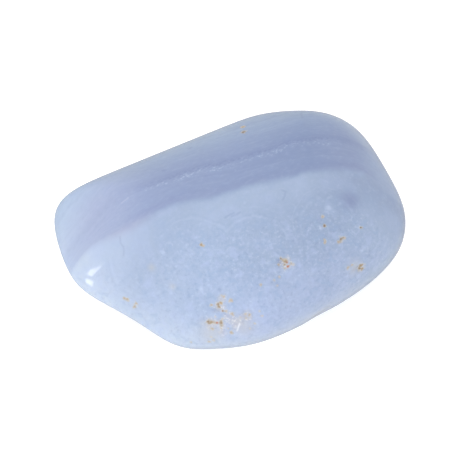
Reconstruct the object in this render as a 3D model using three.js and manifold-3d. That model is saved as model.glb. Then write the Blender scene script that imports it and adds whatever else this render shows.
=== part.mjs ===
// A tumbled stone of blue chalcedony, lying on its broad worn base.
//
// Millimetres, +Z up. X runs along the stone's length, and the origin is on the surface that the stone lies
// on, under the middle of its outline. It is one solid: an outline worn straight on many sides, rounded over
// to a low crown and a flat base, with a shallow dip, a chip and the small open pits that the tumbling did
// not reach.

import * as THREE from "three";
import { mergeVertices } from "three/addons/utils/BufferGeometryUtils.js";
import Module from "manifold-3d";

const LENGTH = 38; // the finished stone's longest extent, along X

// The outline seen from above: each side worn straight, by the azimuth it faces, in degrees from +X towards
// +Y, and its distance from the middle
const SIDES = [
  { name: "right side", azimuth: 27, distance: 18.9 },
  { name: "right shoulder", azimuth: 47, distance: 19.15 },
  { name: "back right shoulder", azimuth: 69.5, distance: 16.8 },
  { name: "back side", azimuth: 92, distance: 13.6 },
  { name: "long back side", azimuth: 115, distance: 11.05 },
  { name: "back left shoulder", azimuth: 150, distance: 17.95 },
  { name: "left tip", azimuth: 180, distance: 18.9 },
  { name: "left side", azimuth: 202, distance: 19.4 },
  { name: "left front side", azimuth: 239.5, distance: 15.5 },
  { name: "front left side", azimuth: 269, distance: 12.85 },
  { name: "front side", azimuth: 290, distance: 12.95 },
  { name: "front right side", azimuth: 304, distance: 12.95 },
  { name: "right front shoulder", azimuth: 318.5, distance: 15.0 },
  { name: "right front tip", azimuth: 339, distance: 18.2 },
  { name: "right tip", azimuth: 356, distance: 19.3 },
];
const CORNERS = 30; // how crisp the corners between the sides are

// The rounding from the outline up to the top and down to the underside: 2 is an ellipse and more is squarer
const TOP = { height: 8.8, squareness: 2.2 };
const UNDERSIDE = { height: 8.6, squareness: 2.6 };

// Each worn face: the way it faces as an azimuth and a slope above the horizon, its distance from the middle,
// and how crisp its edges are (8 is soft and 40 is crisp)
const FACES = [
  { name: "crown", azimuth: -80, slope: 76, distance: 8.4, crispness: 8 },
  { name: "back slope", azimuth: 112, slope: 48, distance: 10.6, crispness: 9 },
  { name: "right slope", azimuth: 22, slope: 46, distance: 14.9, crispness: 10 },
  { name: "left slope", azimuth: 205, slope: 48, distance: 11.4, crispness: 16 },
  { name: "left front slope", azimuth: 242, slope: 44, distance: 9.1, crispness: 17 },
  { name: "left underside", azimuth: 202, slope: -26, distance: 16.08, crispness: 32 },
  { name: "left front underside", azimuth: 236.5, slope: -23, distance: 13.23, crispness: 28 },
  { name: "front underside", azimuth: -72, slope: -44, distance: 11.6, crispness: 10 },
];

const BASE_DEPTH = 8.3; // from the middle down to the flat base

// Shallow hollows, each by the direction of its place from the middle, its width and its depth
const HOLLOWS = [
  { name: "dip in the left front side", azimuth: 221.5, slope: -6, width: 9, depth: 0.33 },
  { name: "chip in the front right side", azimuth: 319, slope: -8, width: 2.6, depth: 0.2 },
];

// Open pits, each by the direction of its place from the middle, its width along and across, its depth, and
// how far it is turned about the way that it faces
const PITS = [
  { azimuth: -95, slope: 26, along: 1.4, across: 0.6, depth: 0.25, turn: 75 },
  { azimuth: -96, slope: 16, along: 1.7, across: 0.6, depth: 0.3, turn: -5 },
  { azimuth: -85, slope: 15, along: 1.2, across: 0.9, depth: 0.25, turn: 30 },
  { azimuth: -48, slope: 36, along: 1.3, across: 1.0, depth: 0.3, turn: 20 },
  { azimuth: -22, slope: 11, along: 1.0, across: 0.8, depth: 0.3, turn: 60 },
  { azimuth: -25, slope: 16, along: 0.6, across: 0.4, depth: 0.2, turn: 0 },
  { azimuth: -16, slope: 25, along: 0.8, across: 0.6, depth: 0.25, turn: 40 },
  { azimuth: 62, slope: -20, along: 1.4, across: 0.7, depth: 0.3, turn: 15 },
  { azimuth: 128, slope: -8, along: 0.9, across: 0.7, depth: 0.25, turn: 80 },
  { azimuth: 205, slope: -48, along: 1.1, across: 0.8, depth: 0.25, turn: -30 },
];

const DETAIL = 20; // splits of each edge of the icosahedron that the surface is drawn on
const PROPORTIONS = new THREE.Vector3(19, 13.5, 8.5); // of the icosahedron, so that its splits come out even
const STEP = 0.5; // degrees between the places that give the way that the surface faces
const JOINED_WITHIN = 1e-5; // of each other, vertices are one

const radians = THREE.MathUtils.degToRad;
const wasm = await Module();
wasm.setup();

function towards(azimuth, slope) {
  const a = radians(azimuth);
  const s = radians(slope);
  return new THREE.Vector3(Math.cos(a) * Math.cos(s), Math.sin(a) * Math.cos(s), Math.sin(s));
}

// How far the outline reaches from the middle at an azimuth in radians
function outlineReach(azimuth) {
  let total = 0;
  for (const side of SIDES) {
    total += Math.max(0, Math.cos(azimuth - radians(side.azimuth)) / side.distance) ** CORNERS;
  }
  return total ** (-1 / CORNERS);
}

// The rounded surface's point in a direction from the middle
function roundedPoint(direction) {
  const { height, squareness } = direction.z > 0 ? TOP : UNDERSIDE;
  const out = Math.hypot(direction.x, direction.y) / outlineReach(Math.atan2(direction.y, direction.x));
  const up = Math.abs(direction.z) / height;
  return direction.clone().multiplyScalar((out ** squareness + up ** squareness) ** (-1 / squareness));
}

// Draws a point in towards the middle as the face wears it, with a soft edge around the face
function wear(point, { azimuth, slope, distance, crispness }) {
  const reach = Math.max(0, point.dot(towards(azimuth, slope))) / distance;
  point.multiplyScalar((1 + reach ** crispness) ** (-1 / crispness));
}

function wornPoint(direction) {
  const point = roundedPoint(direction);
  for (const face of FACES) {
    wear(point, face);
  }
  return point;
}

// Presses a point in towards the middle where it lies in the hollow
function press(point, { azimuth, slope, width, depth }) {
  const away = point.distanceTo(wornPoint(towards(azimuth, slope)));
  point.setLength(point.length() - depth * Math.exp(-((2 * away / width) ** 2)));
}

// The finished surface's point in a direction from the middle, no lower than the flat base
function surfacePoint(direction) {
  const point = wornPoint(direction);
  for (const hollow of HOLLOWS) {
    press(point, hollow);
  }
  point.z = Math.max(point.z, -BASE_DEPTH);
  return point;
}

// A geometry with only its places left, and one vertex where several met
function joined(geometry) {
  geometry.deleteAttribute("normal");
  geometry.deleteAttribute("uv");
  return mergeVertices(geometry, JOINED_WITHIN);
}

function solidOf(geometry) {
  return new wasm.Manifold(
    new wasm.Mesh({
      numProp: 3,
      vertProperties: new Float32Array(geometry.attributes.position.array),
      triVerts: new Uint32Array(geometry.index.array),
    }),
  );
}

function geometryOf(solid) {
  const mesh = solid.getMesh();
  const geometry = new THREE.BufferGeometry();
  geometry.setAttribute("position", new THREE.BufferAttribute(mesh.vertProperties, 3));
  geometry.setIndex(new THREE.BufferAttribute(mesh.triVerts, 1));
  return geometry;
}

function wornSurface() {
  const geometry = joined(new THREE.IcosahedronGeometry(1, DETAIL));
  const positions = geometry.attributes.position;
  const direction = new THREE.Vector3();
  for (let i = 0; i < positions.count; i++) {
    direction.fromBufferAttribute(positions, i).multiply(PROPORTIONS).normalize();
    const point = surfacePoint(direction);
    positions.setXYZ(i, point.x, point.y, point.z);
  }
  return geometry;
}

// The bowl that is taken out of the surface for a pit
function bowl({ azimuth, slope, along, across, depth, turn }) {
  const place = surfacePoint(towards(azimuth, slope));
  const east = surfacePoint(towards(azimuth + STEP, slope)).sub(place);
  const north = surfacePoint(towards(azimuth, slope + STEP)).sub(place);
  const facing = east.cross(north).normalize();
  const turned = new THREE.Quaternion()
    .setFromUnitVectors(new THREE.Vector3(0, 0, 1), facing)
    .multiply(new THREE.Quaternion().setFromAxisAngle(new THREE.Vector3(0, 0, 1), radians(turn)));
  return joined(new THREE.IcosahedronGeometry(1, 1))
    .scale(along / 2, across / 2, depth)
    .applyQuaternion(turned)
    .translate(place.x, place.y, place.z);
}

function stoneGeometry() {
  let solid = solidOf(wornSurface());
  for (const pit of PITS) {
    solid = solid.subtract(solidOf(bowl(pit)));
  }
  const geometry = geometryOf(solid);
  geometry.computeBoundingBox();
  const { min, max } = geometry.boundingBox;
  const size = LENGTH / (max.x - min.x);
  return geometry.translate(-(min.x + max.x) / 2, -(min.y + max.y) / 2, BASE_DEPTH).scale(size, size, size);
}

const stone = new THREE.Mesh(
  stoneGeometry(),
  new THREE.MeshStandardMaterial({ color: 0xa9bce0, roughness: 0.22, metalness: 0 }),
);
stone.name = "stone";

const model = new THREE.Group();
model.add(stone);
export default model;
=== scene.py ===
# The looks of a tumbled stone of banded blue chalcedony, laid out as a Blender add-on and run as a script.
#
# Metres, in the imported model's own frame. One piece is made, the polished stone: a fine mesh drawn out to
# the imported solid, with the open rusty pits and the crystal crust worked into it, and a material that grows
# its layers.

import math
import random

import bmesh
import bpy
import numpy as np
from bpy.props import FloatProperty, FloatVectorProperty, IntProperty, PointerProperty
from mathutils import Matrix, Quaternion, Vector, noise
from mathutils.bvhtree import BVHTree
from mathutils.geometry import barycentric_transform
from mathutils.kdtree import KDTree


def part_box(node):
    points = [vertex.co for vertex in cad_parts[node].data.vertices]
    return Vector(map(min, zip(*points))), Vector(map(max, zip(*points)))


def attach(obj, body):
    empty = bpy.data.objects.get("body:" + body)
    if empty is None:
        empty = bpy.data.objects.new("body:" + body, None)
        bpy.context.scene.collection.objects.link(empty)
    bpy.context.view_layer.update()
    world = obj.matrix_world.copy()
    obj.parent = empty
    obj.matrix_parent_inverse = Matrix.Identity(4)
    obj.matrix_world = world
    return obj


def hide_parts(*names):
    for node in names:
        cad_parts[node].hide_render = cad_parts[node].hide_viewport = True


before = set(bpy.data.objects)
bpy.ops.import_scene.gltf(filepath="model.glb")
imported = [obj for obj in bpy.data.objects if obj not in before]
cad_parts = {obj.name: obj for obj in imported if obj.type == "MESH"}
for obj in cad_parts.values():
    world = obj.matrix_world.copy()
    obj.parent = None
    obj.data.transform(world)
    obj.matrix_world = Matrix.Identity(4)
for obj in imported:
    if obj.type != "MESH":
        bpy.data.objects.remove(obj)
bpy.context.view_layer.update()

bl_info = {
    "name": "Banded Blue Chalcedony",
    "version": (1, 0, 0),
    "blender": (4, 5, 0),
    "location": "3D View > Sidebar > Stone",
    "description": "Makes a polished tumbled stone of banded blue chalcedony around its packed solid",
    "category": "Object",
}

NODE = "stone"
BODY = "root"
MM = 0.001
JOINED_WITHIN = 0.0001 * MM  # of each other, corners of the solid's facets are one
BULGE = 0.75  # of the way from a facet to the smooth surface through its corners
BOX_ROOM = 0.02 * MM  # between the polished surface and the solid's box
SPLIT_EASING = 2  # passes that ease the mesh where its faces are split

# How the picture shows the stone: how steeply the camera looks down, its distance, and where the middle of
# the stone's box falls, in pixels from the left and from the top
IMAGE_WIDTH = 460
IMAGE_HEIGHT = 461
CAMERA_ELEVATION = math.radians(65)
CAMERA_DISTANCE = 350 * MM
PIXEL = 38 * MM / 353
STONE_MIDDLE_AT = (229.5, 227.3)

# The line where the slate layers begin, and the speckled line inside them, as seen in the picture
SLATE_LINE_AT = [
    (87.5, 247.5), (96, 241.5), (104, 237.5), (117, 234), (131, 226.5), (146, 219), (160, 211), (174, 204),
    (189, 200), (206, 198.5), (220, 195), (235, 190), (249, 185), (260, 182.5), (271, 181.5), (279, 180),
    (287, 178), (294, 175.5), (302, 172.5), (311, 171), (320, 170), (341, 169.5), (353, 169.5), (362, 171),
    (370, 177), (377, 183.5), (385, 190), (393, 197),
]
SPECKLED_LINE_AT = [
    (117, 203), (124, 200), (145, 190), (170, 180), (189, 174), (197, 170.5), (205, 169), (215, 167.5),
    (226, 165.5), (234, 163), (244, 159), (255, 156.5), (266, 153), (280, 147.5), (290, 144), (302, 142.5),
    (315, 141), (332, 141),
]
SLATE_DEPTH = 3.0  # mm of slate from its line to the speckled line
LAYERS_FACE = (math.radians(108), math.radians(-20))  # azimuth and slope of the way the layers grew
LINE_SOFTNESS = 0.6  # mm along a line over which the bends at its seen points are eased

# The round growths in the front, as seen in the picture: across, down and radius
GROWTHS_AT = [(140, 264, 30), (195, 262, 41), (256, 250, 32), (329, 224, 27)]

# Rusty grains, as seen in the picture: across, down, width and tone (0 is pale ochre, 0.75 umber and 1 red)
GRAINS_AT = {
    "clear": [
        (217.5, 304, 3, 0.6), (220, 302.5, 2.5, 0.3), (218.5, 307, 3, 0.6), (222.5, 310, 2.5, 0.8),
        (207.5, 321.5, 3.5, 0.65), (210.5, 322, 3, 0.5), (216.5, 322.5, 2.5, 1), (220.5, 322.5, 3.5, 0.55),
        (285, 260.5, 3.5, 0.45), (287.5, 266, 2.5, 1), (284, 264.5, 2, 0.75), (286.5, 262, 2, 1),
        (200.5, 244, 3, 0.4), (360, 265.5, 4.5, 0.5), (362, 268.5, 3, 0.5), (359.5, 268, 3, 0.7),
        (341, 238, 4, 0.75), (324, 225.5, 2.5, 0.75), (360.5, 227, 2, 0.75), (243, 131, 4, 0.75),
        (242.5, 126, 3.5, 0.35),
    ],
    "soft": [
        (213.5, 322, 3, 0.4), (218.5, 322.5, 2.5, 0.6), (221.5, 295, 2.5, 0.3), (223, 296.5, 2, 0.2),
        (230.5, 300, 3, 0.25), (211, 304.5, 2.5, 0.3), (225, 311, 2.5, 0.3), (231.5, 313.5, 3, 0.4),
        (220.5, 325.5, 2.5, 0.6), (230.5, 332.5, 3, 0.3), (212, 328.5, 2.5, 0.5), (208.5, 341.5, 3, 0.5),
        (249, 314.5, 2.5, 0.5), (291, 263, 2, 0.5), (280.5, 258, 2, 0.75), (284.5, 267.5, 2, 0.4),
        (278.5, 264.5, 2, 0.5), (260.5, 284, 2.5, 0.3), (203, 245.5, 2, 0.3), (344, 237.5, 2.5, 0.3),
        (338, 241.5, 2.5, 0.3), (322, 216, 2.5, 0.35), (324, 239, 2, 0.4), (324.5, 242, 2.5, 0.35),
        (347.5, 267.5, 2.5, 0.5), (351.5, 264.5, 2, 0.3), (123.5, 298, 2.5, 0.3), (126, 299, 2.5, 0.35),
        (135.5, 303, 2.5, 0.4), (134, 306, 2.5, 0.5),
    ],
    "faint": [
        (215, 316.5, 2, 0.2), (222, 318.5, 2, 0.4), (220.5, 328, 2, 0.5), (227.5, 328, 2, 0.2),
        (211, 337, 2, 0.3), (213, 340, 2.5, 0.45), (245, 313.5, 3, 0.65), (240, 316.5, 2.5, 0.3),
        (245.5, 318, 2, 0.3), (190.5, 342, 2.5, 0.7), (259, 310.5, 2, 0.2), (262, 315.5, 2, 0.2),
        (254.5, 323, 2, 0.2), (249.5, 328, 2, 0.2), (293, 263, 2, 0.4), (279, 276, 2, 0.2),
        (274, 279.5, 2, 0.6), (277, 285, 2, 0.3), (128, 300, 2, 0.45),
    ],
}
GRAIN_STRENGTH = {"clear": 1.0, "soft": 0.72, "faint": 0.5}
# Groups of grains where the picture doesn't look: azimuth and slope from the stone's middle, and how many
HIDDEN_GROUPS = [(62, -20, 7), (128, -8, 5), (205, -48, 6), (-28, -46, 4), (150, -12, 3), (-118, -44, 5)]
HIDDEN_SPREAD = 0.7 * MM
HIDDEN_TONES = (0.2, 0.35, 0.5, 0.75, 1)
HIDDEN_WIDTHS = (2, 4)  # pixels
HIDDEN_STRENGTHS = (0.5, 1)
HIDDEN_SEED = 11

# The pale crystal crust around the front grains, as seen in the picture: across, down and radius of each
# blotch
CRUST_AT = [
    (221, 299, 6), (219, 307, 8), (210, 323, 9), (221, 324, 8), (228, 318, 8), (237, 323, 8),
    (246, 316, 7), (222, 332, 6), (285, 263, 8), (361, 268, 6), (341, 239, 4),
]
# Hair cracks, and white glints painted into the colour with how bright each is, as seen in the picture: the
# first glint is a painted highlight off a crystal facet, the second a faint pale streak
CRACKS_AT = [
    [(281, 189.1), (285.2, 191), (284.4, 195.5), (282.3, 199.3)],
    [(119.5, 236.5), (120, 242.5), (123, 246.5), (123.5, 250), (123, 255)],
    [(231, 215.8), (236.4, 213.7), (239.5, 211.5)],
    [(224.4, 217.2), (228.5, 214.6), (233.5, 212.4)],
    [(301, 112), (301, 114), (302, 117)],
]
GLINTS_AT = [
    ([(236.5, 330.5), (238, 326.5), (239, 323)], 0.58),
    ([(121, 202.5), (124, 200), (127.5, 197.5)], 0.12),
]
# Round spots, as seen in the picture: across, down and radius
SMOKY_SPOTS_AT = [
    (350, 200.5, 10.5), (279.5, 260.5, 3.5), (245.5, 315, 4.5), (189.5, 147.5, 2), (163.5, 170, 1.5),
]
TANNED_AT = [(210, 333, 13), (243, 326, 12), (355, 267, 8), (151, 267, 4), (172, 286, 3.5)]  # tinged by rust
PALE_SPOTS_AT = [(328.5, 207.5, 3), (267.5, 262, 2), (162.5, 252.5, 2), (200.5, 288.5, 2.5)]
SPOT_SHARPNESS = 1.2  # the higher it is, the sooner a spot fades outwards

# Where grains and crust thin out, as shares of a grain's width and of a blotch's radius: from the first on
# they thin, at the second they end, and past the third nothing is looked at. Noise makes their edges ragged.
GRAIN_EDGE = (0.1, 1.15, 1.4)
GRAIN_RAGGEDNESS = 0.7
GRAIN_LUMPS = 0.25 * MM
CRUST_EDGE = (0.35, 1.15, 1.6)
CRUST_RAGGEDNESS = 0.45
CRUST_LUMPS = 0.7 * MM
CRYSTAL_ROOTS = 0.8  # of a crystal's height is below the polish
CRACK_EDGE = (0.2 * PIXEL, 1.8 * PIXEL)  # how far from its line a crack starts to thin, and where it ends
GLINT_EDGE = (0.1 * PIXEL, 1.3 * PIXEL)  # the same of a glint
GRAIN_MARGIN = 0.25 * MM  # how far around a grain the mesh is made finer
LINE_MARGIN = 0.3 * MM  # the same around cracks and glints

REFRACTIVE_INDEX = 1.54
OPEN_ROUGHNESS = 0.75  # where rust and crust are open
LIGHT_SPREAD = (0.75, 0.85, 1.0)  # how far red, green and blue wander inside, as shares of the light depth

# The lights: the azimuth and the slope that each shines from and its turn about that way, in degrees, and its
# distance, width and height in metres. The two panes are a window that shows in the polish at one place.
SKY = {"azimuth": -138, "slope": 75, "turn": 0, "distance": 1.0, "width": 2.4, "height": 2.4}
LOWER_PANE = {"azimuth": -145.2, "slope": 10.4, "turn": 12, "distance": 0.35, "width": 0.052, "height": 0.055}
UPPER_PANE = {"azimuth": -149.5, "slope": 17.7, "turn": 10, "distance": 0.35, "width": 0.036, "height": 0.016}
HIGHLIGHT_AT = (90, 276)  # the place that the panes shine at, as seen in the picture
TABLE_HALF = 1.5  # metres from the table's middle to its edges


def srgb(red, green, blue):
    """A colour as a screen shows it, from 0 to 255, as the linear colour that Blender works in."""

    def linear(value):
        value /= 255
        return value / 12.92 if value <= 0.04045 else ((value + 0.055) / 1.055) ** 2.4

    return linear(red), linear(green), linear(blue)


def colour_property(name, description, colour):
    return FloatVectorProperty(
        name=name, description=description, subtype="COLOR", size=3, min=0, max=1, default=srgb(*colour)
    )


def length_property(name, description, length):
    return FloatProperty(name=name, description=description, default=length, unit="LENGTH")


def share_property(name, description, share):
    return FloatProperty(name=name, description=description, default=share, subtype="FACTOR")


def light_property(name, description, strength):
    return FloatProperty(name=name, description=description, default=strength, min=0)


def count_property(name, description, count, least, most):
    return IntProperty(name=name, description=description, default=count, min=least, max=most)


class StoneShape(bpy.types.PropertyGroup):
    """Sizes of the polished surface and of what is open in it."""

    detail: count_property("Detail", "Subdivisions of the icosphere that the stone is drawn on", 7, 4, 7)
    easing: count_property("Easing", "Passes that ease the last facets into a polish", 6, 0, 60)
    ripple_height: length_property("Ripple Height", "How far the polish waves in and out", 0.003 * MM)
    ripple_width: length_property("Ripple Width", "Distance between the waves of the polish", 2.6 * MM)
    grain_depth: length_property("Grain Depth", "Depth of the pit that a rusty grain sits in", 0.06 * MM)
    crack_depth: length_property("Crack Depth", "Depth of a hair crack", 0.004 * MM)
    crystal_height: length_property("Crystal Height", "Height of the crystals in the crust", 0.05 * MM)
    crystal_width: length_property("Crystal Width", "Width of the crystals in the crust", 0.3 * MM)


class StoneColours(bpy.types.PropertyGroup):
    """Colours and finish of the chalcedony and of its rust."""

    # Partly painted light: the front is paler towards the left tip for the light that falls from the left and
    # comes through the thin tip.
    ice: colour_property("Ice", "Pale blue of the front at the left tip", (185, 197, 219))
    heart: colour_property("Heart", "Blue of the middle of the front", (165, 181, 207))
    lake: colour_property("Lake", "Deeper blue of the front at the right", (154, 169, 195))
    tip: colour_property("Tip", "Paler blue at the right tip", (171, 186, 211))
    haze: colour_property("Haze", "Light violet blue of the front far from the slate", (185, 197, 226))
    # Painted light: this pale rim colour stands for light from the table below on the low rim, for the glow at
    # the lower left and for the sheen on the upper right rim.
    painted_rim_light: colour_property("Foot", "Paler blue low down around the front", (198, 209, 224))
    rind: colour_property("Rind", "Calm pale edge of the front before the slate", (174, 188, 210))
    glaze: colour_property("Glaze", "Clear deeper blue in the mottling", (150, 171, 203))
    bloom: colour_property("Bloom", "Milky violet blue in the mottling", (178, 192, 221))
    milk: colour_property("Milk", "Palest mottling and layer lines", (204, 217, 236))
    # Partly painted light: the slate is paler at the left tip for the light that falls from the left and comes
    # through the thin tip.
    frost: colour_property("Frost", "Pale left tip of the slate layers", (180, 193, 215))
    mauve: colour_property("Mauve", "Pink tinge near the left tip of the slate layers", (167, 177, 204))
    blush: colour_property("Blush", "Warmer tinge along the left of the slate's edge", (184, 180, 200))
    slate: colour_property("Slate", "Grey blue of the layers at the back", (149, 162, 193))
    dusk: colour_property("Dusk", "Darker slate towards the right", (140, 155, 187))
    plum: colour_property("Plum", "Darkest layer lines and smoky places", (122, 133, 172))
    ash: colour_property("Ash", "Paler grey blue of the outermost layers", (166, 184, 208))
    # Painted highlight: the white of the glints, painted into the colour.
    glint_highlight_white: colour_property("Snow", "White edge of a crystal", (240, 242, 247))
    crust: colour_property("Crust", "Whitish crystal flecks around the rust", (220, 220, 224))
    # Partly painted shadow: these greyish flecks stand also for the small shadows between the crust's crystals.
    shade: colour_property("Shade", "Greyish flecks of the crystal crust", (172, 176, 196))
    ochre: colour_property("Ochre", "Palest rust", (206, 178, 132))
    tan: colour_property("Tan", "Faint stain around a grain of rust", (203, 196, 182))
    umber: colour_property("Umber", "Darkest rust", (130, 110, 86))
    ember: colour_property("Ember", "Red rust", (182, 98, 62))
    gloss: share_property("Polish Roughness", "Roughness of the polished surface", 0.045)
    depth: length_property("Light Depth", "How deep light wanders inside the stone", 1.6 * MM)
    translucence: share_property("Translucence", "Share of light that wanders inside", 0.7)


class StoneStage(bpy.types.PropertyGroup):
    """The table, the lights and the camera."""

    floor: colour_property("Floor", "Colour of the table", (250, 250, 250))
    glow: light_property("Table Glow", "Light that comes up through the table", 0.35)
    room: light_property("Room Light", "Strength of the white room", 0.5)
    sky: light_property("Sky Light", "Watts per square metre of the broad light over the table", 3.65)
    pane: light_property("Window Panes", "Watts per square metre of the panes at the front left", 15)


class Flow:
    """A value that flows through a material. Python's operators on it add the Math nodes that work it out."""

    def __init__(self, recipe, socket):
        self.recipe = recipe
        self.socket = socket

    def math(self, operation, first, second):
        return self.recipe.node("ShaderNodeMath", {"operation": operation}, {0: first, 1: second})

    def __add__(self, other):
        return self.math("ADD", self, other)

    def __radd__(self, other):
        return self.math("ADD", other, self)

    def __sub__(self, other):
        return self.math("SUBTRACT", self, other)

    def __rsub__(self, other):
        return self.math("SUBTRACT", other, self)

    def __mul__(self, other):
        return self.math("MULTIPLY", self, other)

    def __rmul__(self, other):
        return self.math("MULTIPLY", other, self)


class Recipe:
    """A material in the making, with the few kinds of step that the stone needs."""

    def __init__(self, name):
        self.material = bpy.data.materials.new(name)
        self.material.use_nodes = True
        self.tree = self.material.node_tree
        self.shader = self.tree.nodes["Principled BSDF"]

    def node(self, kind, settings, inputs, output=0):
        """Adds a node: its settings first, a ramp's stops among them, then its sockets' values or links."""
        made = self.tree.nodes.new(kind)
        for name, value in settings.items():
            if name == "stops":
                self.stops(made.color_ramp, value)
            else:
                setattr(made, name, value)
        for key, value in inputs.items():
            self.feed(made.inputs[key], value)
        return Flow(self, made.outputs[output])

    def stops(self, ramp, stops):
        while len(ramp.elements) < len(stops):
            ramp.elements.new(1)
        for element, (position, colour) in zip(ramp.elements, stops):
            element.position = position
            element.color = (*colour, 1)

    def feed(self, socket, value):
        if isinstance(value, Flow):
            self.tree.links.new(value.socket, socket)
        elif socket.type == "RGBA":
            socket.default_value = (*value, 1)
        else:
            socket.default_value = value

    def finish(self, socket, value):
        self.feed(self.shader.inputs[socket], value)

    def mix(self, first, second, factor):
        """One colour turned into another by a factor."""
        return self.node("ShaderNodeMix", {"data_type": "RGBA"}, {0: factor, 6: first, 7: second}, output=2)

    def ramp(self, value, stops):
        """Colours that follow each other as a value rises, each with the value that it stands at."""
        low, high = stops[0][0], stops[-1][0]
        shares = [((at - low) / (high - low), colour) for at, colour in stops]
        return self.node("ShaderNodeValToRGB", {"stops": shares}, {"Fac": (value - low) * (1 / (high - low))})

    def step(self, value, start, end):
        """0 where the value is at the start, 1 where it is at the end, and smooth between."""
        settings = {"interpolation_type": "SMOOTHSTEP", "clamp": True}
        if start < end:
            return self.node("ShaderNodeMapRange", settings, {0: value, 1: start, 2: end, 3: 0.0, 4: 1.0})
        return self.node("ShaderNodeMapRange", settings, {0: value, 1: end, 2: start, 3: 1.0, 4: 0.0})

    def band(self, value, middle, width):
        """1 at the middle and 0 from half the width away on both sides."""
        return self.step(value, middle - width / 2, middle) * self.step(value, middle + width / 2, middle)

    def point(self, x, y, z):
        return self.node("ShaderNodeCombineXYZ", {}, {"X": x, "Y": y, "Z": z})

    def cloud(self, place, size, detail=2.0, roughness=0.5, distortion=0.0):
        """Soft noise about 0.5, with lumps of about that size."""
        inputs = {"Vector": place, "Scale": 1 / size, "Detail": detail, "Roughness": roughness}
        return self.node("ShaderNodeTexNoise", {}, {**inputs, "Distortion": distortion})

    def dots(self, place, size, width):
        """Scattered round dots of about that width, one to each cell of that size."""
        inputs = {"Vector": place, "Scale": 1 / size}
        distance = self.node("ShaderNodeTexVoronoi", {"feature": "F1"}, inputs)
        return self.step(distance, width / size, 0.3 * width / size)

    def painted(self, name):
        """What the mesh carries at each point under that name."""
        return self.node("ShaderNodeAttribute", {"attribute_name": name}, {}, output=2)


class StoneRecipe(Recipe):
    """A recipe that knows its place in the stone, in mm, and how that lies to the layers and growths."""

    def __init__(self, name):
        super().__init__(name)
        metres = self.node("ShaderNodeTexCoord", {}, {}, output=3)
        self.place = self.node("ShaderNodeVectorMath", {"operation": "SCALE"}, {0: metres, 3: 1 / MM})
        self.x, self.y, self.z = (
            self.node("ShaderNodeSeparateXYZ", {}, {0: self.place}, output=axis) for axis in range(3)
        )
        self.layer = self.painted("layer")
        self.growth = self.painted("growth")


def direction(azimuth, slope):
    return Vector(
        (math.cos(azimuth) * math.cos(slope), math.sin(azimuth) * math.cos(slope), math.sin(slope))
    )


class Solid:
    """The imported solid, and the smooth surface that its facets stand for."""

    def __init__(self):
        low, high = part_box(NODE)
        self.middle = (low + high) / 2
        joined = bmesh.new()
        joined.from_mesh(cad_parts[NODE].data)
        bmesh.ops.remove_doubles(joined, verts=joined.verts, dist=JOINED_WITHIN)
        joined.normal_update()
        self.corners = [vertex.co.copy() for vertex in joined.verts]
        self.facings = [vertex.normal.copy() for vertex in joined.verts]
        self.facets = [[vertex.index for vertex in facet.verts] for facet in joined.faces]
        joined.free()
        self.tree = BVHTree.FromPolygons(self.corners, self.facets)

    def towards(self, way):
        """The place on the solid in that direction from its middle."""
        return self.tree.ray_cast(self.middle, way.normalized())[0]

    def smooth(self, way):
        """The same place, raised from its facet towards the planes that the corners face in."""
        place, _, facet, _ = self.tree.ray_cast(self.middle, way.normalized())
        corners = [self.corners[i] for i in self.facets[facet]]
        facings = [self.facings[i] for i in self.facets[facet]]
        raised = [place - facing * (place - corner).dot(facing) for corner, facing in zip(corners, facings)]
        return place.lerp(barycentric_transform(place, *corners, *raised), BULGE)


class Picture:
    """The camera of the picture: where it stands, and where on the stone each of its pixels falls."""

    def __init__(self, solid):
        self.solid = solid
        self.middle = solid.middle
        self.back = direction(math.radians(-90), CAMERA_ELEVATION)
        self.right = Vector((1, 0, 0))
        self.up = self.back.cross(self.right)
        across = (STONE_MIDDLE_AT[0] - (IMAGE_WIDTH - 1) / 2) * PIXEL
        down = (STONE_MIDDLE_AT[1] - (IMAGE_HEIGHT - 1) / 2) * PIXEL
        self.aim = self.middle - self.right * across + self.up * down
        self.eye = self.aim + self.back * CAMERA_DISTANCE

    def at(self, across, down):
        """The place on the stone that the pixel shows."""
        right = (across - (IMAGE_WIDTH - 1) / 2) * PIXEL
        up = ((IMAGE_HEIGHT - 1) / 2 - down) * PIXEL
        seen = self.aim + self.right * right + self.up * up
        place, _, _, _ = self.solid.tree.ray_cast(self.eye, (seen - self.eye).normalized())
        if place is None:
            raise RuntimeError(f"pixel {across}, {down} misses the stone")
        return place


def along(points, spacing):
    """Places along a line through the points, about that far apart."""
    places = []
    for start, end in zip(points, points[1:]):
        count = max(1, round((end - start).length / spacing))
        places += [start.lerp(end, i / count) for i in range(count)]
    return places + [points[-1]]


def hidden_grains(solid):
    """Grains that lie in loose groups on the sides that the picture doesn't show."""
    draw = random.Random(HIDDEN_SEED)
    grains = []
    for azimuth, slope, count in HIDDEN_GROUPS:
        centre = solid.towards(direction(math.radians(azimuth), math.radians(slope)))
        for _ in range(count):
            off = Vector([draw.gauss(0, HIDDEN_SPREAD) for _ in range(3)])
            place = solid.towards(centre + off - solid.middle)
            tone = draw.choice(HIDDEN_TONES)
            width = draw.uniform(*HIDDEN_WIDTHS) * PIXEL
            grains.append((place, width, tone, draw.uniform(*HIDDEN_STRENGTHS)))
    return grains


class Marks:
    """Everything small that shows on the stone, as places on its surface."""

    def __init__(self, picture):
        self.grains = []
        for group, seen in GRAINS_AT.items():
            for x, y, width, tone in seen:
                self.grains.append((picture.at(x, y), width * PIXEL, tone, GRAIN_STRENGTH[group]))
        self.grains += hidden_grains(picture.solid)
        self.crust = [(picture.at(x, y), radius * PIXEL) for x, y, radius in CRUST_AT]
        self.cracks = [along([picture.at(*p) for p in crack], PIXEL / 2) for crack in CRACKS_AT]
        self.glints = [
            (along([picture.at(*p) for p in edge], PIXEL / 2), bright) for edge, bright in GLINTS_AT
        ]


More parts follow.
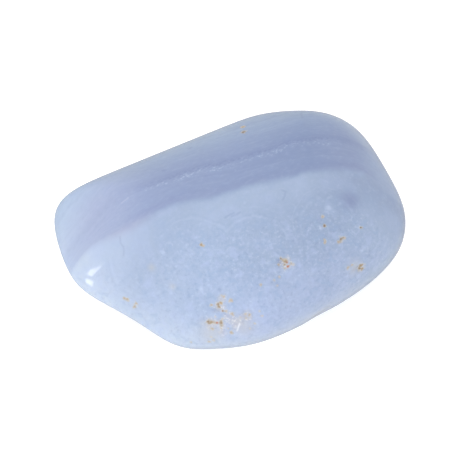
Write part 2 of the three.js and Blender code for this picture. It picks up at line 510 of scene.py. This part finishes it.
def drawn_blank(solid, shape):
    """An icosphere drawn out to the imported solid's smooth surface, with the last of its facets eased away."""
    low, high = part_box(NODE)
    half = (high - low) / 2
    blank = bmesh.new()
    bmesh.ops.create_icosphere(blank, subdivisions=shape.detail, radius=1)
    for vertex in blank.verts:
        vertex.co = solid.smooth(vertex.co * half)
    ease(blank, blank.verts[:], shape.easing)
    fit_to_box(blank, low, high)
    return blank


def fit_to_box(blank, low, high):
    """Stretches the eased stone back to the solid's box, less the room that the waves of its polish take."""
    for axis in range(3):
        reached = [vertex.co[axis] for vertex in blank.verts]
        least, most = min(reached), max(reached)
        stretch = (high[axis] - low[axis] - 2 * BOX_ROOM) / (most - least)
        for vertex in blank.verts:
            vertex.co[axis] = low[axis] + BOX_ROOM + (vertex.co[axis] - least) * stretch


def ease(blank, vertices, passes):
    for _ in range(passes):
        bmesh.ops.smooth_vert(
            blank, verts=vertices, factor=0.5, use_axis_x=True, use_axis_y=True, use_axis_z=True
        )


def refine(blank, places):
    """Splits the faces near the places, and eases what was split."""
    tree = KDTree(len(places))
    for i, (place, _) in enumerate(places):
        tree.insert(place, i)
    tree.balance()
    reach = max(radius for _, radius in places)

    def close(point):
        return any(d < places[i][1] for _, i, d in tree.find_range(point, reach))

    near = [face for face in blank.faces if close(face.calc_center_median())]
    edges = list(dict.fromkeys(edge for face in near for edge in face.edges))
    bmesh.ops.subdivide_edges(blank, edges=edges, cuts=1, use_grid_fill=True)
    bmesh.ops.triangulate(blank, faces=[face for face in blank.faces if len(face.verts) > 3])
    ease(blank, [vertex for vertex in blank.verts if close(vertex.co)], SPLIT_EASING)


def falloff(distance, inner, outer):
    """1 up to inner, 0 from outer on, and smooth between."""
    share = min(1, max(0, (outer - distance) / (outer - inner)))
    return share * share * (3 - 2 * share)


def crystals(point, width):
    """How high the crystals of that width stand at a point, from 0 to 1."""
    distances, _ = noise.voronoi(point / width)
    return max(0, 1 - distances[0])


def paint(mesh, name, values):
    layer = mesh.attributes.new(name, "FLOAT", "POINT")
    layer.data.foreach_set("value", values)


def layer_depths(points, picture):
    """How deep each point lies in the slate layers, in mm, and below 0 in front of them."""
    facing = np.array(direction(*LAYERS_FACE))

    def line(seen):
        places = np.array([picture.at(*p) for p in seen]) / MM
        across, deep = places[:, 0], places @ facing
        offsets = np.linspace(-2, 2, 9)
        weights = np.exp(-(offsets**2) / 2)
        shifted = [points[:, 0] + LINE_SOFTNESS * offset for offset in offsets]
        return sum(w * np.interp(s, across, deep) for w, s in zip(weights, shifted)) / weights.sum()

    slate, speckled = line(SLATE_LINE_AT), line(SPECKLED_LINE_AT)
    depth = points @ facing
    inside = SLATE_DEPTH * (depth - slate) / (speckled - slate)
    beyond = SLATE_DEPTH + depth - speckled
    return np.where(depth < slate, depth - slate, np.where(depth < speckled, inside, beyond))


def growth_reach(points, picture):
    """How far each point is outside the nearest round growth, in mm, and below 0 inside one."""
    reach = np.full(len(points), np.inf)
    for x, y, radius in GROWTHS_AT:
        centre = np.array(picture.at(x, y)) / MM
        reach = np.minimum(reach, np.linalg.norm(points - centre, axis=1) - radius * PIXEL / MM)
    return reach


def spots(points, picture, seen):
    """1 at the middle of each round spot, falling to 0 around it."""
    strength = np.zeros(len(points))
    for x, y, radius in seen:
        away = np.linalg.norm(points - np.array(picture.at(x, y)) / MM, axis=1) / (radius * PIXEL / MM)
        strength = np.maximum(strength, np.exp(-(away**2) * SPOT_SHARPNESS))
    return strength


def crust_amounts(tree, count, blotches):
    """How much crust there is at each vertex."""
    thins, ends, reach = CRUST_EDGE
    amounts = np.zeros(count)
    for place, radius in blotches:
        for co, i, distance in tree.find_range(place, radius * reach):
            ragged = distance * (1 + CRUST_RAGGEDNESS * noise.fractal(co / CRUST_LUMPS, 1, 2, 3))
            amounts[i] = max(amounts[i], falloff(ragged, radius * thins, radius * ends))
    return amounts


def rust_amounts(tree, count, grains):
    """How much rust there is at each vertex, and the tone of it."""
    thins, ends, reach = GRAIN_EDGE
    amounts, tones = np.zeros(count), np.zeros(count)
    for place, width, tone, strength in grains:
        for co, i, distance in tree.find_range(place, width * reach):
            ragged = distance * (1 + GRAIN_RAGGEDNESS * noise.noise(co / GRAIN_LUMPS))
            amount = strength * falloff(ragged, width * thins, width * ends)
            if amount > amounts[i]:
                amounts[i] = amount
                tones[i] = tone
    return amounts, tones


def line_amounts(tree, count, lines, edge):
    """How strong the nearest of the lines is at each vertex. Each line comes with its strength."""
    amounts = np.zeros(count)
    for line, strength in lines:
        for place in line:
            for _, i, distance in tree.find_range(place, edge[1]):
                amounts[i] = max(amounts[i], strength * falloff(distance, *edge))
    return amounts


def work_surface(blank, marks, shape):
    """Opens the pits, grows the crust and waves the polish. Returns what to paint at each vertex."""
    blank.normal_update()
    count = len(blank.verts)
    tree = KDTree(count)
    for i, vertex in enumerate(blank.verts):
        tree.insert(vertex.co, i)
    tree.balance()
    crust = crust_amounts(tree, count, marks.crust)
    rust, tone = rust_amounts(tree, count, marks.grains)
    crack = line_amounts(tree, count, [(line, 1) for line in marks.cracks], CRACK_EDGE)
    glint = line_amounts(tree, count, marks.glints, GLINT_EDGE)
    normals = [vertex.normal.copy() for vertex in blank.verts]
    for i, vertex in enumerate(blank.verts):
        co = vertex.co
        lift = shape.ripple_height * noise.noise(co / shape.ripple_width)
        grown = crystals(co, shape.crystal_width) - CRYSTAL_ROOTS
        lift += shape.crystal_height * grown * min(1, crust[i] + rust[i])
        lift -= shape.grain_depth * rust[i] + shape.crack_depth * crack[i]
        vertex.co = co + normals[i] * lift
    return {"rust": rust, "rust_tone": tone, "crust": crust, "crack": crack, "glint": glint}


def stone_mesh(shape, picture, marks):
    blank = drawn_blank(picture.solid, shape)
    places = [(place, width + GRAIN_MARGIN) for place, width, _, _ in marks.grains]
    lines = marks.cracks + [line for line, _ in marks.glints]
    places += [(place, LINE_MARGIN) for line in lines for place in line]
    refine(blank, [(place, radius * CRUST_EDGE[1]) for place, radius in marks.crust] + places)
    refine(blank, places)
    painted = work_surface(blank, marks, shape)
    mesh = bpy.data.meshes.new("polished_stone")
    blank.to_mesh(mesh)
    blank.free()
    mesh.shade_smooth()
    points = np.empty(len(mesh.vertices) * 3)
    mesh.vertices.foreach_get("co", points)
    points = points.reshape(-1, 3) / MM
    painted["layer"] = layer_depths(points, picture)
    painted["growth"] = growth_reach(points, picture)
    painted["smoky"] = spots(points, picture, SMOKY_SPOTS_AT)
    painted["pale"] = spots(points, picture, PALE_SPOTS_AT)
    painted["tanned"] = spots(points, picture, TANNED_AT)
    for name, values in painted.items():
        paint(mesh, name, values)
    return mesh


def front_ground(recipe, colours):
    """The broad colours of the front, from the left tip to the right and from the slate down to its low edge,
    with painted light on its low rim and at its lower left.
    """
    x, y, z, layer = recipe.x, recipe.y, recipe.z, recipe.layer
    across = x + 5.0 * (recipe.cloud(recipe.place, 7.0) - 0.5)
    # Paler to the left and darker to the right, partly painted light falling from the left and through the thin
    # left tip.
    stops = [(-19.0, colours.ice), (-2.0, colours.heart), (11.0, colours.lake), (19.0, colours.tip)]
    colour = recipe.ramp(across, stops)
    far = recipe.step(layer, -6.0, -12.5) * recipe.step(x, -11.0, -4.0)
    colour = recipe.mix(colour, colours.haze, far * 0.8)
    # Painted light: paler low down, more so towards the front, for the light that the pale table sends up into
    # the low rim.
    low = recipe.step(z, 11.0, 7.4)
    colour = recipe.mix(colour, colours.painted_rim_light, low * (0.2 + 0.45 * recipe.step(y, -4.0, -11.0)))
    # Painted light: the lower left rim is brightened towards the pale rim colour, for the glow around the
    # window's highlight there.
    painted_lower_left_glow = recipe.step(-0.95 * x - 0.3 * y, 13.5, 17.0)
    colour = recipe.mix(colour, colours.painted_rim_light, painted_lower_left_glow * 0.95)
    rind = recipe.step(layer, -3.4, -0.9)
    colour = recipe.mix(colour, colours.rind, rind * 0.35)
    veil = recipe.step(x, 7.0, 14.0) * recipe.step(layer, -5.5, -0.8)
    colour = recipe.mix(colour, colours.dusk, veil * 0.5)
    # Deeper blue just in front of the slate on the left.
    deeper_left_band = recipe.step(x, -12.0, -9.0) * recipe.step(x, -1.5, -5.5)
    return recipe.mix(colour, colours.lake, deeper_left_band * recipe.step(layer, -6.0, -1.8) * 0.5)


def curdled(recipe, colours, colour):
    """The front's mottling, milky and clear, finest in the middle and calm before the slate."""
    place = recipe.place
    calm = 1 - 0.7 * recipe.step(recipe.layer + 0.1 * recipe.x, -4.6, -1.8)
    strength = (0.75 + 0.35 * recipe.step(recipe.x, -11.0, -4.0)) * calm
    drift = recipe.cloud(place, 3.2, detail=1.0)
    colour = recipe.mix(colour, colours.bloom, recipe.step(drift, 0.5, 0.68) * 0.22)
    colour = recipe.mix(colour, colours.glaze, recipe.step(drift, 0.5, 0.32) * 0.1)
    curd = recipe.cloud(place, 0.42, detail=3.0, roughness=0.7, distortion=0.25)
    colour = recipe.mix(colour, colours.milk, recipe.step(curd, 0.5, 0.78) * strength * 0.38)
    colour = recipe.mix(colour, colours.plum, recipe.step(curd, 0.5, 0.22) * strength * 0.3)
    tint = recipe.cloud(place, 0.95, detail=2.0, distortion=0.6)
    colour = recipe.mix(colour, colours.glaze, recipe.step(tint, 0.5, 0.74) * strength * 0.36)
    return recipe.mix(colour, colours.bloom, recipe.step(tint, 0.5, 0.26) * strength * 0.42)


def arced(recipe, colours, colour):
    """Faint broken arcs that follow the round growths on their side towards the slate."""
    place, layer, growth = recipe.place, recipe.layer, recipe.growth
    wander = growth + recipe.cloud(place, 1.8, detail=2.0)
    arcs = recipe.cloud(recipe.point(wander, 0.0, 0.0), 0.45, detail=1.0)
    above = recipe.step(layer, -6.6, -4.4) * recipe.step(layer, -0.8, -2.0)
    around = recipe.step(growth, -0.9, 0.1) * recipe.step(growth, 2.6, 0.8)
    over = around * above * recipe.step(recipe.x, 17.0, 12.0)
    broken = recipe.step(recipe.cloud(place, 1.1), 0.34, 0.58)
    colour = recipe.mix(colour, colours.milk, recipe.step(arcs, 0.5, 0.7) * over * broken * 0.14)
    return recipe.mix(colour, colours.dusk, recipe.step(arcs, 0.5, 0.3) * over * 0.16)


def front_colour(recipe, colours):
    """The milky blue front, with a scatter of pale dots over all of it."""
    colour = arced(recipe, colours, curdled(recipe, colours, front_ground(recipe, colours)))
    return recipe.mix(colour, colours.milk, recipe.dots(recipe.place, 2.8, 0.24) * 0.15)


def slate_ground(recipe, colours):
    """The broad colours of the slate, from the left tip to the right and paler in its outer layers."""
    x = recipe.x
    across = x + 3.0 * (recipe.cloud(recipe.place, 5.0) - 0.5)
    # Paler at the left tip, partly painted light falling from the left and through the thin tip.
    left = [(-18.0, colours.frost), (-14.5, colours.mauve), (-8.5, colours.slate)]
    right = [(8.0, colours.dusk), (13.0, colours.slate), (18.0, colours.tip)]
    colour = recipe.ramp(across, left + right)
    outer = recipe.step(recipe.layer, 3.8, 10.5) * (0.9 - 0.2 * recipe.step(x, -3.0, 2.0))
    return recipe.mix(colour, colours.ash, outer)


def streaked(recipe, colours, colour, body):
    """Streaks along the slate layers, broad and fine, and their grain."""
    x, z, layer = recipe.x, recipe.z, recipe.layer
    drift = recipe.cloud(recipe.place, 2.2, detail=1.0) * 0.5
    broad = recipe.cloud(recipe.point(layer * 0.9 + drift, x * 0.04, z * 0.04), 1.0, detail=2.0)
    along = recipe.point(layer * 2.8 + drift, x * 0.12, z * 0.12)
    fine = recipe.cloud(along, 1.0, detail=3.0, roughness=0.65)
    colour = recipe.mix(colour, colours.plum, recipe.step(broad, 0.5, 0.72) * body * 0.09)
    colour = recipe.mix(colour, colours.milk, recipe.step(fine, 0.52, 0.78) * body * 0.08)
    colour = recipe.mix(colour, colours.plum, recipe.step(fine, 0.48, 0.24) * body * 0.11)
    grain = recipe.cloud(recipe.point(layer * 3.2, x * 1.6, z * 1.6), 1.0, detail=2.0)
    colour = recipe.mix(colour, colours.milk, recipe.step(grain, 0.5, 0.75) * 0.06)
    return recipe.mix(colour, colours.plum, recipe.step(grain, 0.5, 0.25) * 0.08)


def speckled(recipe, colours, colour, body):
    """The speckled line inside the slate, with a darker strip and dark specks behind it."""
    x, place, layer = recipe.x, recipe.place, recipe.layer
    strip = recipe.band(layer, SLATE_DEPTH + 0.75, 1.4) * body
    colour = recipe.mix(colour, colours.plum, strip * 0.16)
    along = recipe.point(layer * 1.5, x, recipe.z)
    reach = recipe.step(x, -11.0, -6.5) * recipe.step(x, 13.5, 9.5)
    line = recipe.band(layer + 0.9 * recipe.cloud(place, 0.8), SLATE_DEPTH + 0.4, 1.1) * reach
    broken = 0.3 + 0.7 * recipe.step(recipe.cloud(place, 1.2, detail=2.0), 0.4, 0.62)
    colour = recipe.mix(colour, colours.milk, recipe.dots(along, 0.34, 0.2) * line * broken * 0.36)
    beneath = recipe.band(layer + 0.6 * recipe.cloud(place, 0.9), SLATE_DEPTH + 0.7, 1.0) * reach
    return recipe.mix(colour, colours.plum, recipe.dots(along, 0.36, 0.26) * beneath * 0.36)


def slate_colour(recipe, colours):
    """The slate layers at the back, darker just behind their edge."""
    body = 0.65 + 0.35 * recipe.step(recipe.x, -14.0, -7.0)
    colour = streaked(recipe, colours, slate_ground(recipe, colours), body)
    colour = speckled(recipe, colours, colour, body)
    behind = recipe.band(recipe.layer, 0.7, 1.6) * recipe.step(recipe.x, -13.0, -7.0)
    return recipe.mix(colour, colours.plum, behind * 0.12)


def rust_colour(recipe, colours, tone):
    stops = [(0, colours.ochre), (0.75, colours.umber), (1, colours.ember)]
    return recipe.node("ShaderNodeValToRGB", {"stops": stops}, {"Fac": tone})


def stone_colour(recipe, colours):
    """Front and slate with the edge between them, the smoky and pale places and cracks in both, and a painted
    sheen on the upper right rim.
    """
    x, y, layer = recipe.x, recipe.y, recipe.layer
    edge = layer + 0.4 * (recipe.cloud(recipe.place, 1.4, detail=2.0) - 0.5)
    front, slate = front_colour(recipe, colours), slate_colour(recipe, colours)
    colour = recipe.mix(front, slate, recipe.step(edge, -0.5, 0.4))
    warm = recipe.band(layer, 0.1, 1.4) * recipe.band(x, -10.5, 8.0)
    colour = recipe.mix(colour, colours.blush, warm * 0.2)
    # Painted reflection: the upper right rim is paler, for the sheen of the bright room at grazing angles.
    painted_rim_sheen = recipe.step(0.62 * x + 0.79 * y, 14.4, 17.4)
    colour = recipe.mix(colour, colours.painted_rim_light, painted_rim_sheen * 0.46)
    colour = recipe.mix(colour, colours.plum, recipe.painted("smoky") * 0.46)
    colour = recipe.mix(colour, colours.milk, recipe.painted("pale") * 0.5)
    return recipe.mix(colour, colours.plum, recipe.painted("crack") * 0.2)


def rusted(recipe, colours, colour, rust, crust):
    """The rust's tinge in the stone, the flecks of the crust, the white glints of a painted highlight, and the
    rusty grains.
    """
    flecks = recipe.cloud(recipe.place, 0.24, detail=2.0)
    stain = recipe.step(recipe.cloud(recipe.place, 0.7, detail=2.0), 0.36, 0.62)
    colour = recipe.mix(colour, colours.tan, recipe.painted("tanned") * 0.32)
    colour = recipe.mix(colour, colours.tan, crust * (0.08 + 0.26 * stain))
    # Greyish flecks of the crust, partly painted shadow between its crystals.
    colour = recipe.mix(colour, colours.shade, crust * (0.15 + 0.5 * recipe.step(flecks, 0.5, 0.3)))
    colour = recipe.mix(colour, colours.crust, crust * recipe.step(flecks, 0.52, 0.7) * 0.7)
    # Painted highlight: the white glints mixed into the colour.
    colour = recipe.mix(colour, colours.glint_highlight_white, recipe.painted("glint"))
    colour = recipe.mix(colour, colours.tan, recipe.step(rust + 0.2 * flecks, 0.1, 0.7) * 0.6)
    stained = recipe.step(rust + 0.5 * flecks, 0.5, 1.3)
    return recipe.mix(colour, rust_colour(recipe, colours, recipe.painted("rust_tone")), stained * 0.8)


def chalcedony(colours):
    """The polished stone: glossy, with light that wanders inside, and dull where rust and crust are open."""
    recipe = StoneRecipe("polished_chalcedony")
    rust, crust = recipe.painted("rust"), recipe.painted("crust")
    colour = rusted(recipe, colours, stone_colour(recipe, colours), rust, crust)
    recipe.finish("Base Color", colour)
    worn = recipe.step(rust + 0.6 * crust, 0.1, 0.9)
    recipe.finish("Roughness", colours.gloss + (OPEN_ROUGHNESS - colours.gloss) * worn)
    recipe.finish("IOR", REFRACTIVE_INDEX)
    recipe.finish("Subsurface Weight", colours.translucence)
    recipe.finish("Subsurface Radius", LIGHT_SPREAD)
    recipe.finish("Subsurface Scale", colours.depth)
    return recipe.material


class CHALCEDONY_OT_stone(bpy.types.Operator):
    """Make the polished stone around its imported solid"""

    bl_idname = "chalcedony.stone"
    bl_label = "Make the Stone"

    def execute(self, context):
        picture = Picture(Solid())
        mesh = stone_mesh(context.scene.chalcedony_shape, picture, Marks(picture))
        mesh.materials.append(chalcedony(context.scene.chalcedony_colours))
        stone = bpy.data.objects.new("polished_stone", mesh)
        context.scene.collection.objects.link(stone)
        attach(stone, BODY)
        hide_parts(NODE)
        return {"FINISHED"}


def pale_table(colour, glow):
    recipe = Recipe("pale_table")
    recipe.finish("Base Color", tuple(colour))
    recipe.finish("Roughness", 0.9)
    recipe.finish("Emission Color", (1, 1, 1))
    recipe.finish("Emission Strength", glow)
    return recipe.material


def floor(colour, glow):
    half = TABLE_HALF
    mesh = bpy.data.meshes.new("table")
    corners = [(-half, -half, 0), (half, -half, 0), (half, half, 0), (-half, half, 0)]
    mesh.from_pydata(corners, [], [(0, 1, 2, 3)])
    mesh.materials.append(pale_table(colour, glow))
    table = bpy.data.objects.new("table", mesh)
    table.visible_glossy = False
    bpy.context.scene.collection.objects.link(table)


def softbox(name, brightness, target, mirrored, *, azimuth, slope, turn, distance, width, height):
    """A rectangular light that faces the target, and that shows in the polish if it is mirrored."""
    light = bpy.data.lights.new(name, "AREA")
    light.shape = "RECTANGLE"
    light.size = width
    light.size_y = height
    light.energy = brightness * width * height
    box = bpy.data.objects.new(name, light)
    way = direction(math.radians(azimuth), math.radians(slope))
    box.location = target + way * distance
    turned = way.to_track_quat("Z", "Y") @ Quaternion((0, 0, 1), math.radians(turn))
    box.rotation_euler = turned.to_euler()
    box.visible_glossy = mirrored
    bpy.context.scene.collection.objects.link(box)


def white_room(strength):
    world = bpy.data.worlds.new("white_room")
    world.use_nodes = True
    background = world.node_tree.nodes["Background"]
    background.inputs["Color"].default_value = (1, 1, 1, 1)
    background.inputs["Strength"].default_value = strength
    bpy.context.scene.world = world


def camera(picture):
    lens = bpy.data.cameras.new("camera")
    lens.sensor_width = 36
    lens.lens = lens.sensor_width * CAMERA_DISTANCE / (max(IMAGE_WIDTH, IMAGE_HEIGHT) * PIXEL)
    lens.clip_start = 0.01
    lens.clip_end = 10
    viewer = bpy.data.objects.new("camera", lens)
    axes = Matrix((picture.right, picture.up, picture.back)).transposed()
    viewer.matrix_world = Matrix.Translation(picture.eye) @ axes.to_4x4()
    bpy.context.scene.collection.objects.link(viewer)
    bpy.context.scene.camera = viewer


class CHALCEDONY_OT_stage(bpy.types.Operator):
    """Make the table, the lights and the camera"""

    bl_idname = "chalcedony.stage"
    bl_label = "Make the Stage"

    def execute(self, context):
        stage = context.scene.chalcedony_stage
        picture = Picture(Solid())
        floor(stage.floor, stage.glow)
        white_room(stage.room)
        softbox("sky", stage.sky, picture.middle, False, **SKY)
        highlight = picture.at(*HIGHLIGHT_AT)
        softbox("lower_pane", stage.pane, highlight, True, **LOWER_PANE)
        softbox("upper_pane", stage.pane, highlight, True, **UPPER_PANE)
        camera(picture)
        context.scene.view_settings.view_transform = "Standard"
        return {"FINISHED"}


class CHALCEDONY_PT_panel(bpy.types.Panel):
    """Sizes and colours of the stone, and the buttons that make it"""

    bl_label = "Banded Blue Chalcedony"
    bl_space_type = "VIEW_3D"
    bl_region_type = "UI"
    bl_category = "Stone"

    def draw(self, context):
        scene = context.scene
        for settings in (scene.chalcedony_shape, scene.chalcedony_colours, scene.chalcedony_stage):
            box = self.layout.box()
            for name in settings.__annotations__:
                box.prop(settings, name)
        self.layout.operator(CHALCEDONY_OT_stone.bl_idname)
        self.layout.operator(CHALCEDONY_OT_stage.bl_idname)


SETTINGS = {
    "chalcedony_shape": StoneShape,
    "chalcedony_colours": StoneColours,
    "chalcedony_stage": StoneStage,
}
CLASSES = [*SETTINGS.values(), CHALCEDONY_OT_stone, CHALCEDONY_OT_stage, CHALCEDONY_PT_panel]


def register():
    for cls in CLASSES:
        bpy.utils.register_class(cls)
    for name, group in SETTINGS.items():
        setattr(bpy.types.Scene, name, PointerProperty(type=group))


def unregister():
    for name in SETTINGS:
        delattr(bpy.types.Scene, name)
    for cls in reversed(CLASSES):
        bpy.utils.unregister_class(cls)


def main():
    register()
    bpy.ops.chalcedony.stone()
    bpy.ops.chalcedony.stage()


if __name__ == "__main__":
    main()
